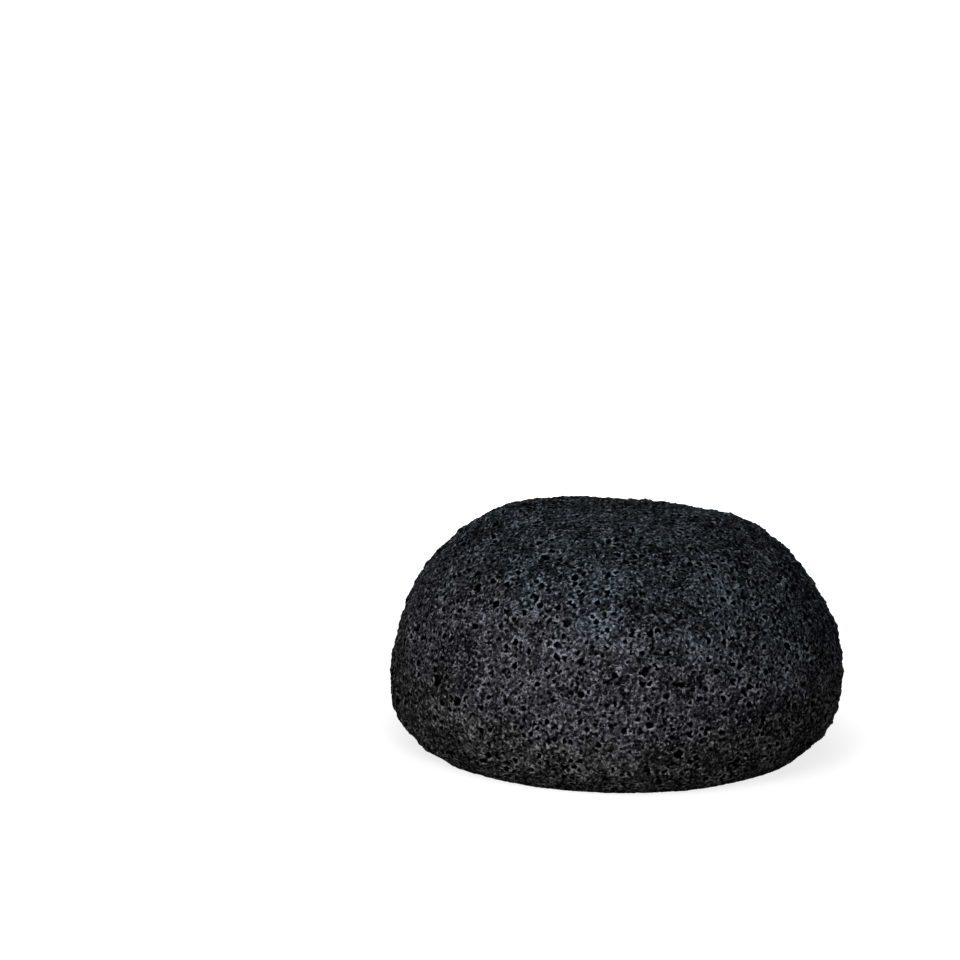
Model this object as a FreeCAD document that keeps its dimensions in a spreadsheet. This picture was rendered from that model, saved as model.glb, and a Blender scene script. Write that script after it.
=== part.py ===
import FreeCAD, Part
import os
import Sketcher
from math import radians, sqrt

doc = FreeCAD.newDocument("konjac_sponge")

# Sizes in millimetres. A fullness has no unit: the larger it is, the squarer the outline.
sizes = {
    "width": 80.0,
    "depth": 72.0,
    "height": 42.0,
    "belly_height": 11.5,
    "base_width": 67.0,
    "base_depth": 60.0,
    "crest_width": 8.0,
    "crest_depth": 6.0,
    "edge_fullness": 2.6,
    "width_fullness": 2.8,
    "depth_fullness": 2.3,
}
sheet = doc.addObject("Spreadsheet::Sheet", "sizes")
for row, (name, value) in enumerate(sizes.items(), start=1):
    sheet.set(f"A{row}", name)
    sheet.set(f"B{row}", str(value))
    sheet.setAlias(f"B{row}", name)
doc.recompute()

# The sponge is one moulded piece of foam: a flat base, a rounded lower edge, a belly where it is
# widest, and a crown that is full from side to side and rounder from front to back.
body = doc.addObject("PartDesign::Body", "sponge_body")
body.Label = "sponge_body"
ground = next(plane for plane in body.Origin.OriginFeatures if plane.Role == "XY_Plane")


def oval_section(name, height, half_width, half_depth):
    """Sketch a level oval of four arcs, each a quarter turn, that meet smoothly at their ends."""
    corner_x = f"({half_width}) * (1 + sqrt(2)) / 2 - ({half_depth}) / 2"
    corner_y = f"({half_depth}) * (1 + sqrt(2)) / 2 - ({half_width}) / 2"
    end_radius = f"({corner_y}) * sqrt(2)"
    side_radius = f"({corner_x}) * sqrt(2)"
    end = sheet.evalExpression(end_radius)
    side = sheet.evalExpression(side_radius)
    centre = (side - end) / sqrt(2)
    sketch = body.newObject("Sketcher::SketchObject", name)
    sketch.AttachmentSupport = [(ground, "")]
    sketch.MapMode = "FlatFace"
    arcs = ((centre, 0, end, -45), (0, -centre, side, 45), (-centre, 0, end, 135), (0, centre, side, 225))
    for x, y, radius, start in arcs:
        circle = Part.Circle(FreeCAD.Vector(x, y, 0), FreeCAD.Vector(0, 0, 1), radius)
        sketch.addGeometry(Part.ArcOfCircle(circle, radians(start), radians(start + 90)), False)
    for arc in range(4):
        sketch.addConstraint(Sketcher.Constraint("Coincident", arc, 2, (arc + 1) % 4, 1))
    sketch.addConstraint(Sketcher.Constraint("Symmetric", 0, 2, 1, 2, -2))
    sketch.addConstraint(Sketcher.Constraint("Symmetric", 0, 2, 0, 1, -1))
    sketch.addConstraint(Sketcher.Constraint("Symmetric", 1, 2, 2, 2, -1))
    sketch.addConstraint(Sketcher.Constraint("Equal", 0, 2))
    sketch.addConstraint(Sketcher.Constraint("Equal", 1, 3))
    driven = (
        (("DistanceX", -1, 1, 0, 2, end / sqrt(2) + centre), "corner_x", corner_x),
        (("DistanceY", -1, 1, 0, 2, end / sqrt(2)), "corner_y", corner_y),
        (("Radius", 0, end), "end_radius", end_radius),
        (("Radius", 1, side), "side_radius", side_radius),
    )
    for constraint, label, formula in driven:
        number = sketch.addConstraint(Sketcher.Constraint(*constraint))
        sketch.renameConstraint(number, label)
        sketch.setExpression(f"Constraints.{label}", formula)
    sketch.setExpression("AttachmentOffset.Base.z", height)
    return sketch


sections = []

# From the base up to the belly, at shares of the belly's height.
for share in (0.0, 0.1, 0.3, 0.6, 1.0):
    swell = f"(1 - {1 - share:.2f} ^ sizes.edge_fullness)"
    sections.append(oval_section(
        f"lower_section_{len(sections)}",
        f"sizes.belly_height * {share}",
        f"(sizes.base_width + (sizes.width - sizes.base_width) * {swell}) / 2",
        f"(sizes.base_depth + (sizes.depth - sizes.base_depth) * {swell}) / 2",
    ))

# From the belly up to the crest, at shares of the height between them.
for share in (0.15, 0.35, 0.6, 0.8, 0.92, 0.98, 1.0):
    across = f"(1 - {share} ^ 2) ^ (1 / sizes.width_fullness)"
    along = f"(1 - {share} ^ 2) ^ (1 / sizes.depth_fullness)"
    sections.append(oval_section(
        f"upper_section_{len(sections)}",
        f"sizes.belly_height + (sizes.height - sizes.belly_height) * {share}",
        f"(sizes.crest_width + (sizes.width - sizes.crest_width) * {across}) / 2",
        f"(sizes.crest_depth + (sizes.depth - sizes.crest_depth) * {along}) / 2",
    ))

doc.recompute()
form = body.newObject("PartDesign::AdditiveLoft", "moulded_form")
form.Profile = sections[0]
form.Sections = sections[1:]
form.Ruled = False
form.Closed = False
doc.recompute()

for item in doc.Objects:
    if "Invalid" in item.State or "Error" in item.State:
        raise RuntimeError(f"{item.Label} failed: {item.State}")
if body.Shape.isNull() or not body.Shape.isValid():
    raise RuntimeError(f"{body.Label} has no valid shape")

os.makedirs("parts", exist_ok=True)
body.Shape.exportStep(f"parts/{body.Label}.step")
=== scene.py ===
import math

import bpy
import numpy as np
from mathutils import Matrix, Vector


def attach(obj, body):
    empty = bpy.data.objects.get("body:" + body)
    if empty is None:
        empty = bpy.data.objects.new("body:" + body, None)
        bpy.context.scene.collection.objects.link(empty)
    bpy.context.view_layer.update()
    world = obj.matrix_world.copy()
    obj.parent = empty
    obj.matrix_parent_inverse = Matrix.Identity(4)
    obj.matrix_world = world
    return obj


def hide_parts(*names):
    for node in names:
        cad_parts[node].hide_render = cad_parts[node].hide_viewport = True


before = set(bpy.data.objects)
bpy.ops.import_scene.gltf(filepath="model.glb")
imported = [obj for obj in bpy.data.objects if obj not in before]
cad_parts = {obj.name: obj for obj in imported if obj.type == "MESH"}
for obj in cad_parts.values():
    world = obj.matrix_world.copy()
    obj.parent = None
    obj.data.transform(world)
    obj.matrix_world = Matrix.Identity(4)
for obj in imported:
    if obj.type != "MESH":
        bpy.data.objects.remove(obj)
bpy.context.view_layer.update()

# The sponge: konjac paste with charcoal in it, frozen in a bowl mould and dried, so that ice leaves
# it full of round cells. It is one piece of foam, with its cells cut open all over the skin.
merge_distance = 1e-6
skin_grid = 0.00017
form = bpy.data.objects.new("sponge_form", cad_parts["sponge_body"].data.copy())
bpy.context.scene.collection.objects.link(form)
weld = form.modifiers.new("weld", "WELD")
weld.merge_threshold = merge_distance
remesh = form.modifiers.new("fine_skin", "REMESH")
remesh.mode = "VOXEL"
remesh.voxel_size = skin_grid
skin = bpy.data.meshes.new_from_object(form.evaluated_get(bpy.context.evaluated_depsgraph_get()))
bpy.data.objects.remove(form)
sponge = bpy.data.objects.new("sponge_foam", skin)
bpy.context.scene.collection.objects.link(sponge)


class Wire:
    """A socket of a node tree. Arithmetic on it adds Math nodes to the tree."""

    def __init__(self, tree, socket=None):
        self.tree, self.socket = tree, socket

    def add(self, kind, settings=None, inputs=None, out=0):
        """Add a node with these settings and socket values, and give its output."""
        node = self.tree.nodes.new(kind)
        for name, value in (settings or {}).items():
            if name == "stops":
                ramp = node.color_ramp.elements
                while len(ramp) < len(value):
                    ramp.new(1.0)
                for stop, (place, colour) in zip(ramp, value):
                    stop.position, stop.color = place, colour
            else:
                setattr(node, name, value)
        for key, value in (inputs or {}).items():
            if isinstance(value, Wire):
                self.tree.links.new(value.socket, node.inputs[key])
            else:
                node.inputs[key].default_value = value
        return Wire(self.tree, node.outputs[out] if node.outputs else None)

    def of(self, name):
        """Another output of the same node."""
        return Wire(self.tree, self.socket.node.outputs[name])

    def maths(self, operation, *values):
        """A Math node's result."""
        return self.add("ShaderNodeMath", {"operation": operation}, dict(enumerate(values)))

    def vector(self, operation, *values, out=0):
        """A Vector Math node's result."""
        return self.add("ShaderNodeVectorMath", {"operation": operation}, dict(enumerate(values)), out)

    def stretch(self, vector, amount):
        """A vector times a number."""
        return self.add("ShaderNodeVectorMath", {"operation": "SCALE"}, {0: vector, "Scale": amount})

    def noise(self, place, scale, detail, out=0, **more):
        """Smooth noise about one half, with lumps about 1 / scale metres across."""
        inputs = {"Vector": place, "Scale": scale, "Detail": detail}
        return self.add("ShaderNodeTexNoise", {"noise_dimensions": "3D"}, inputs | more, out)

    def ease(self, value, low, high, start=0.0, end=1.0):
        """Go smoothly from start to end while the value goes from low to high."""
        inputs = {"Value": value, "From Min": low, "From Max": high, "To Min": start, "To Max": end}
        return self.add("ShaderNodeMapRange", {"interpolation_type": "SMOOTHSTEP"}, inputs)

    def __add__(self, other):
        return self.maths("ADD", self, other)

    def __sub__(self, other):
        return self.maths("SUBTRACT", self, other)

    def __mul__(self, other):
        return self.maths("MULTIPLY", self, other)

    def __truediv__(self, other):
        return self.maths("DIVIDE", self, other)

    def __radd__(self, other):
        return self.maths("ADD", other, self)

    def __rsub__(self, other):
        return self.maths("SUBTRACT", other, self)

    def __rmul__(self, other):
        return self.maths("MULTIPLY", other, self)

    def __rtruediv__(self, other):
        return self.maths("DIVIDE", other, self)


def bend_space(tree, place, amount):
    """Shift a place by noise, so that no cell drawn there stays a clean ball."""
    noise = tree.noise(place, scale=700.0, detail=3.0, out="Color", Roughness=0.65)
    shift = tree.vector("SUBTRACT", noise, (0.5, 0.5, 0.5))
    return tree.vector("ADD", place, tree.stretch(shift, amount))


def cut_cells(tree, place, outward, spacing, radius, share, least):
    """Depth from the skin to the far wall of the cell cut open there, and how far inside its wall.

    The share says how many of the cells are there, and least how small the smallest is to the largest.
    """
    cell = tree.add(
        "ShaderNodeTexVoronoi",
        {"voronoi_dimensions": "3D", "feature": "F1"},
        {"Vector": place, "Scale": 1.0 / spacing},
    )
    reach = tree.vector("SUBTRACT", place, cell.of("Position"))
    chance = tree.add("ShaderNodeSeparateXYZ", {}, {0: cell.of("Color")})
    is_there = tree.maths("LESS_THAN", chance.of("Y"), share)
    size = radius * (least + (1.0 - least) * chance.of("X")) * is_there
    height = tree.vector("DOT_PRODUCT", reach, outward, out="Value")
    away = tree.vector("DOT_PRODUCT", reach, reach, out="Value")
    inside = size * size - away
    far_wall = tree.maths("SQRT", tree.maths("MAXIMUM", inside + height * height, 0.0))
    return (height + far_wall) * tree.maths("GREATER_THAN", inside, 0.0), size - tree.maths("SQRT", away)


# The foam's sizes in metres. Shares have no unit, and one above 1 means every cell.
foam_sizes = {
    "Large spacing": 0.0038,
    "Large radius": 0.001,
    "Large share": 0.5,
    "Dish spacing": 0.0018,
    "Dish radius": 0.0008,
    "Dish share": 0.7,
    "Cell spacing": 0.0014,
    "Cell radius": 0.0007,
    "Cell share": 1.1,
    "Small spacing": 0.0008,
    "Small radius": 0.00045,
    "Small share": 1.1,
    "Crumb spacing": 0.0024,
    "Crack": 0.0004,
    "Warp": 0.0014,
    "Groove": 0.0003,
    "Depth cap": 0.0006,
    "Rough": 0.001,
    "Lump": 0.0006,
    "Knob": 0.0018,
    "Crumple": 0.0012,
}
smallest_cell = {"Large": 0.6, "Dish": 0.6, "Cell": 0.3, "Small": 0.3}
dish_flatness = 0.3
foam_tree = bpy.data.node_groups.new("open_cells", "GeometryNodeTree")
foam_tree.interface.new_socket("Geometry", in_out="INPUT", socket_type="NodeSocketGeometry")
foam_tree.interface.new_socket("Geometry", in_out="OUTPUT", socket_type="NodeSocketGeometry")
foam_inputs = {
    name: foam_tree.interface.new_socket(name, in_out="INPUT", socket_type="NodeSocketFloat")
    for name in foam_sizes
}
foam = Wire(foam_tree)
given = foam.add("NodeGroupInput")
place = foam.add("GeometryNodeInputPosition")
outward = foam.add("GeometryNodeInputNormal")
warped = bend_space(foam, place, given.of("Warp"))

# Crooked grooves run over the skin, cracks part its crumbs in places, and cells of four kinds lie open.
groove_reach = 0.05
crack_reach = 0.1
worm = foam.noise(place, scale=1300.0, detail=2.0)
groove = foam.ease(foam.maths("ABSOLUTE", worm - 0.5), 0.0, groove_reach, 1.0, 0.0)
crumb = foam.add(
    "ShaderNodeTexVoronoi",
    {"voronoi_dimensions": "3D", "feature": "DISTANCE_TO_EDGE"},
    {"Vector": warped, "Scale": 1.0 / given.of("Crumb spacing")},
)
cracked = foam.ease(foam.noise(place, scale=350.0, detail=0.0), 0.45, 0.6)
crack = foam.ease(crumb, 0.0, crack_reach, 1.0, 0.0) * cracked
depth = foam.maths("MAXIMUM", groove * given.of("Groove"), crack * given.of("Crack"))
for kind, least in smallest_cell.items():
    spacing, radius, share = (given.of(f"{kind} {size}") for size in ("spacing", "radius", "share"))
    sunk = cut_cells(foam, warped, outward, spacing, radius, share, least)[0]
    if kind == "Dish":
        sunk = sunk * dish_flatness
    depth = foam.maths("MAXIMUM", depth, sunk)
rough = foam.noise(place, scale=900.0, detail=1.0, Distortion=0.8)
depth = depth + given.of("Rough") * (0.5 - rough)
depth = foam.add("GeometryNodeBlurAttribute", {"data_type": "FLOAT"}, {"Value": depth, "Iterations": 1})
around = foam.add("GeometryNodeBlurAttribute", {"data_type": "FLOAT"}, {"Value": depth, "Iterations": 8})
relief = around - depth

# The skin is cut less deep than its cells go, and least near the base, where nothing stands out.
cut_share = 0.7
base_share = 0.4
highest_edge = 0.0004
rise = foam.add("ShaderNodeSeparateXYZ", {}, {0: place}).of("Z")
off_base = foam.ease(rise, 0.0005, 0.005)
carve = cut_share * (depth / (1.0 + foam.maths("MAXIMUM", depth, 0.0) / given.of("Depth cap")))
carve = carve * (base_share + (1.0 - base_share) * off_base)
carve = foam.maths("MAXIMUM", carve, off_base * -highest_edge)

# The form is uneven: soft swellings, knobs along the lower edge, a crumpled skin, and seven places that
# stand out or lie in, each with its middle, its reach and its height.
uneven_places = (
    ((-0.020, 0.010, 0.041), 0.012, 0.0011),
    ((0.008, 0.012, 0.041), 0.011, -0.0005),
    ((0.034, 0.004, 0.030), 0.011, -0.0008),
    ((0.039, -0.005, 0.007), 0.009, -0.0004),
    ((0.030, -0.014, 0.001), 0.008, -0.0011),
    ((-0.008, -0.029, 0.0), 0.009, -0.0005),
    ((-0.038, 0.001, 0.023), 0.008, -0.0004),
)
swell = foam.noise(place, scale=90.0, detail=1.0)
knob = foam.noise(place, scale=190.0, detail=2.0)
crumple = foam.noise(warped, scale=380.0, detail=1.0)
lower_edge = foam.ease(rise, 0.003, 0.009, 1.0, 0.0)
lump = (swell - 0.5) * 2.0 * given.of("Lump") + (knob - 0.5) * lower_edge * given.of("Knob")
lump = lump + (crumple - 0.5) * given.of("Crumple")
for middle, reach, height in uneven_places:
    away = foam.vector("DISTANCE", place, middle, out="Value") / reach
    lump = lump + height * foam.maths("EXPONENT", -1.0 * (away * away))

# The base stays flat, so near it a lump only moves sideways.
level = foam.add("ShaderNodeCombineXYZ", {}, {0: 1.0, 1: 1.0, 2: off_base})
bulge = foam.stretch(foam.vector("MULTIPLY", outward, level), lump)
move = foam.vector("SUBTRACT", bulge, foam.stretch(outward, carve))
cut = given
for name, kind, value in (
    ("relief", "FLOAT", relief),
    ("skin_place", "FLOAT_VECTOR", place),
    ("skin_normal", "FLOAT_VECTOR", outward),
):
    cut = foam.add(
        "GeometryNodeStoreNamedAttribute",
        {"data_type": kind, "domain": "POINT"},
        {"Geometry": cut, "Name": name, "Value": value},
    )
cut = foam.add("GeometryNodeSetPosition", {}, {"Geometry": cut, "Offset": move})
cut = foam.add("GeometryNodeRealizeInstances", {}, {"Geometry": cut})

# The charcoal: dark grey between the cells, with grain, clumps and blotches at random; painted shade
# makes the open cells black, painted highlight makes what stands out paler, and painted highlights and
# glints light parts of the cells' rims and small specks.
charcoal = bpy.data.materials.new("charcoal_foam")
charcoal.use_nodes = True
charcoal.node_tree.nodes.clear()
paint = Wire(charcoal.node_tree)
where = paint.add("ShaderNodeTexCoord").of("Object")
relief = paint.add("ShaderNodeAttribute", {"attribute_name": "relief"}).of("Fac")
skin_place = paint.add("ShaderNodeAttribute", {"attribute_name": "skin_place"}).of("Vector")
skin_normal = paint.add("ShaderNodeAttribute", {"attribute_name": "skin_normal"}).of("Vector")
grain = paint.noise(where, scale=2400.0, detail=1.0)
clump = paint.noise(where, scale=420.0, detail=1.0)
blotch = paint.noise(where, scale=130.0, detail=2.0)
# Painted glints: small pale specks in place of the lamps' glints on the foam, which has no specular of
# its own.
painted_glint = paint.ease(paint.noise(where, scale=2300.0, detail=1.0), 0.6, 0.72)

# Painted shade: the open cells turn grey from grey_depth and black by black_depth, in place of the shade
# deep inside them.
grey_depth = 0.0003
black_depth = 0.0014
rim_offset = 0.00008
rim_reach = 0.00016
warped = bend_space(paint, skin_place, foam_sizes["Warp"])
pit_painted_shade, rim_painted_highlight = 0.0, 0.0
for kind in ("Large", "Cell", "Small"):
    spacing, radius, share = (foam_sizes[f"{kind} {size}"] for size in ("spacing", "radius", "share"))
    sunk, within = cut_cells(paint, warped, skin_normal, spacing, radius, share, smallest_cell[kind])
    edge = paint.ease(paint.maths("ABSOLUTE", within + rim_offset), 0.0, rim_reach, 1.0, 0.0)
    pit_painted_shade = paint.maths("MAXIMUM", pit_painted_shade, sunk)
    rim_painted_highlight = paint.maths("MAXIMUM", rim_painted_highlight, edge)
pit_painted_shade = paint.ease(pit_painted_shade, grey_depth, black_depth)
# Painted highlight: parts of the cells' rims are paler, broken into strokes, in place of rims catching
# the light.
whole_rim = paint.ease(paint.noise(skin_place, scale=1000.0, detail=0.0), 0.4, 0.62)
rim_painted_highlight = rim_painted_highlight * (1.0 - pit_painted_shade) * whole_rim

middle_tone = 0.35
relief_light_and_shade_per_metre = 1650.0
# The tone: painted highlight where the skin stands out and painted shade where it lies in, painted shade
# in the open cells, painted highlight on parts of the rims, painted glints, and grain, clumps and
# blotches at random.
tone_and_painted_light = middle_tone + relief_light_and_shade_per_metre * relief - 0.48 * pit_painted_shade + 0.3 * rim_painted_highlight
tone_and_painted_light = tone_and_painted_light + 0.3 * (grain - 0.5) + 0.5 * (clump - 0.5) + 0.4 * (blotch - 0.5) + 0.4 * painted_glint
greys = ((0.1, 0.0005), (0.35, 0.014), (0.6, 0.07), (1.0, 0.3))
stops = [(at, (grey, grey, grey, 1)) for at, grey in greys]
shade = paint.add("ShaderNodeValToRGB", {"stops": stops}, {0: tone_and_painted_light})

# The grey has a faint cast: neutral along the lower edge, violet above it, and green-blue on the crown.
green = 0.83
along = paint.add("ShaderNodeSeparateXYZ", {}, {0: where})
climb = 24.0 * along.of("Z") + 0.4 * (blotch - 0.5)
red = paint.ease(climb + 5.0 * along.of("X"), 0.55, 0.8, 0.84, 0.68)
blue = paint.ease(climb + (1.2 - 145.0 * along.of("X")) * along.of("X"), 0.19, 0.29, 0.84, 0.98)
tint = paint.add("ShaderNodeCombineXYZ", {}, {0: red, 1: green, 2: blue})
bump = paint.add("ShaderNodeBump", {}, {"Strength": 0.4, "Distance": 0.00008, "Height": grain})
surface = paint.add("ShaderNodeBsdfPrincipled", {}, {
    "Base Color": paint.vector("MULTIPLY", shade, tint),
    "Roughness": 0.6 + 0.3 * grain,
    "Normal": bump,
    "Specular IOR Level": 0.0,
})
paint.add("ShaderNodeOutputMaterial", {}, {"Surface": surface})

cut = foam.add("GeometryNodeSetMaterial", {}, {"Geometry": cut, "Material": charcoal})
foam.add("NodeGroupOutput", {}, {0: cut})
cells = sponge.modifiers.new("open_cells", "NODES")
cells.node_group = foam_tree
for name, value in foam_sizes.items():
    cells[foam_inputs[name].identifier] = value
foam_mesh = bpy.data.meshes.new_from_object(sponge.evaluated_get(bpy.context.evaluated_depsgraph_get()))
sponge.modifiers.remove(cells)
sponge.data = foam_mesh
foam_mesh.polygons.foreach_set("use_smooth", np.ones(len(foam_mesh.polygons), bool))


def numbers(items, name, kind, width=1):
    """One property of all the items of a mesh, as an array."""
    found = np.empty(len(items) * width, kind)
    items.foreach_get(name, found)
    return found.reshape(-1, width) if width > 1 else found


# A flat layout of the skin for its baked colours, in metres on a square sheet: the base, the crown, and
# the side, unrolled in a front half and a back half.
sheet_side = 0.14
base_middle = (0.037, 0.033)
crown_middle = (0.105, 0.033)
side_middle = 0.067
front_foot = 0.066
back_foot = 0.103
side_radius = 0.038
depth_to_width = 0.9
base_slope = -0.75
crown_slope = 0.7
corner_vertex = numbers(foam_mesh.loops, "vertex_index", np.int32)
first_corner = numbers(foam_mesh.polygons, "loop_start", np.int32)
corner_count = np.diff(np.append(first_corner, len(corner_vertex)))
by_corner, by_face = {}, {}
for name in ("skin_place", "skin_normal"):
    by_corner[name] = numbers(foam_mesh.attributes[name].data, "vector", np.float32, 3)[corner_vertex]
    face_mean = np.add.reduceat(by_corner[name], first_corner) / corner_count[:, None]
    by_face[name] = np.repeat(face_mean, corner_count, 0)
spot = by_corner["skin_place"]
is_base = by_face["skin_normal"][:, 2] < base_slope
is_crown = by_face["skin_normal"][:, 2] > crown_slope
is_front = by_face["skin_place"][:, 1] < 0
turn = np.arctan2(spot[:, 1] / depth_to_width, spot[:, 0]) + np.where(is_front, 0.5, -0.5) * math.pi
turn = (turn + math.pi) % (2 * math.pi) - math.pi
foot = np.where(is_front, front_foot, back_foot)
layout = np.stack([side_middle + side_radius * turn, foot + spot[:, 2]], 1)
layout[is_base] = spot[is_base, :2] * (-1, 1) + base_middle
layout[is_crown] = spot[is_crown, :2] + crown_middle
layout_map = foam_mesh.uv_layers.new(name="OFBake")
layout_map.uv.foreach_set("vector", (layout / sheet_side).astype(np.float32).ravel())
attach(sponge, "root")
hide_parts("sponge_body")

# The floor: a plain pale sheet that the sponge lies on. It shows white, and its glow is dimmed close to
# the sponge as a painted soft shadow around it, where the lamps and the sponge's real shadow can also be
# seen on it.
floor_reach = 3
shadow_edge = 0.038
white_edge = 0.054
floor_corners = [(x * floor_reach, y * floor_reach, 0) for x, y in ((-1, -1), (1, -1), (1, 1), (-1, 1))]
floor_mesh = bpy.data.meshes.new("floor")
floor_mesh.from_pydata(floor_corners, [], [(0, 1, 2, 3)])
floor = bpy.data.objects.new("floor", floor_mesh)
bpy.context.scene.collection.objects.link(floor)
pale = bpy.data.materials.new("pale_floor")
pale.use_nodes = True
pale.node_tree.nodes.clear()
sheet = Wire(pale.node_tree)
ray = sheet.add("ShaderNodeLightPath")
seen = ray.of("Is Camera Ray") + ray.of("Is Glossy Ray") + ray.of("Is Transmission Ray")
off_middle = sheet.vector("LENGTH", sheet.add("ShaderNodeTexCoord").of("Object"), out="Value")
# Painted shadow: the glow drops from 0.97 to 0.8 close to the sponge, a soft shadow painted around it.
white_with_painted_shadow = sheet.ease(off_middle, shadow_edge, white_edge, 0.8, 0.97)
white_with_painted_shadow = sheet.add("ShaderNodeCombineXYZ", {}, {0: white_with_painted_shadow, 1: white_with_painted_shadow, 2: white_with_painted_shadow})
glow = sheet.add("ShaderNodeEmission", {}, {"Color": white_with_painted_shadow, "Strength": seen})
matt = sheet.add("ShaderNodeBsdfDiffuse", {}, {"Color": (0.45, 0.45, 0.45, 1)})
both = sheet.add("ShaderNodeAddShader", {}, {0: glow, 1: matt})
sheet.add("ShaderNodeOutputMaterial", {}, {"Surface": both})
floor_mesh.materials.append(pale)

# The light: a small soft lamp close in front and to the left, another behind, a weak and very soft light
# from above, and a dim room that shows white.
room_light = 0.14
room = bpy.data.worlds.new("room")
bpy.context.scene.world = room
room.use_nodes = True
room.node_tree.nodes.clear()
air = Wire(room.node_tree)
ray = air.add("ShaderNodeLightPath")
seen = ray.of("Is Camera Ray") + ray.of("Is Glossy Ray") + ray.of("Is Transmission Ray")
strength = room_light + (1.0 - room_light) * seen
sky = air.add("ShaderNodeBackground", {}, {"Color": (1, 1, 1, 1), "Strength": strength})
air.add("ShaderNodeOutputWorld", {}, {"Surface": sky})
for name, kind, stand, power, softness, soft_size in (
    ("front_lamp", "POINT", (-0.020, -0.0930, 0.060), 0.219, "shadow_soft_size", 0.025),
    ("back_lamp", "POINT", (0.0, 0.22, 0.03), 1.1, "shadow_soft_size", 0.06),
    ("ceiling_light", "SUN", (0.0, 0.0, 0.5), 0.4, "angle", math.radians(60)),
):
    lamp_data = bpy.data.lights.new(name, kind)
    setattr(lamp_data, softness, soft_size)
    lamp_data.energy = power
    lamp = bpy.data.objects.new(name, lamp_data)
    bpy.context.scene.collection.objects.link(lamp)
    lamp.location = stand

# The camera looks from in front and a little above, with a long lens. It aims to the left of the sponge
# and above it, so that the sponge lies low and to the right in the picture.
sponge_middle = Vector((0, 0, 0.022))
elevation = math.radians(16)
distance = 0.62
aim_left = 0.0244
aim_above = 0.02435
back = Vector((0, -math.cos(elevation), math.sin(elevation)))
up = Vector((0, math.sin(elevation), math.cos(elevation)))
camera_data = bpy.data.cameras.new("camera")
camera_data.lens = 131.9
camera_data.sensor_width = 36
camera = bpy.data.objects.new("camera", camera_data)
bpy.context.scene.collection.objects.link(camera)
camera.location = sponge_middle + back * distance
aim = sponge_middle + Vector((-aim_left, 0, 0)) + up * aim_above
camera.rotation_euler = (aim - camera.location).to_track_quat("-Z", "Y").to_euler()
bpy.context.scene.camera = camera
bpy.context.scene.view_settings.view_transform = "Standard"
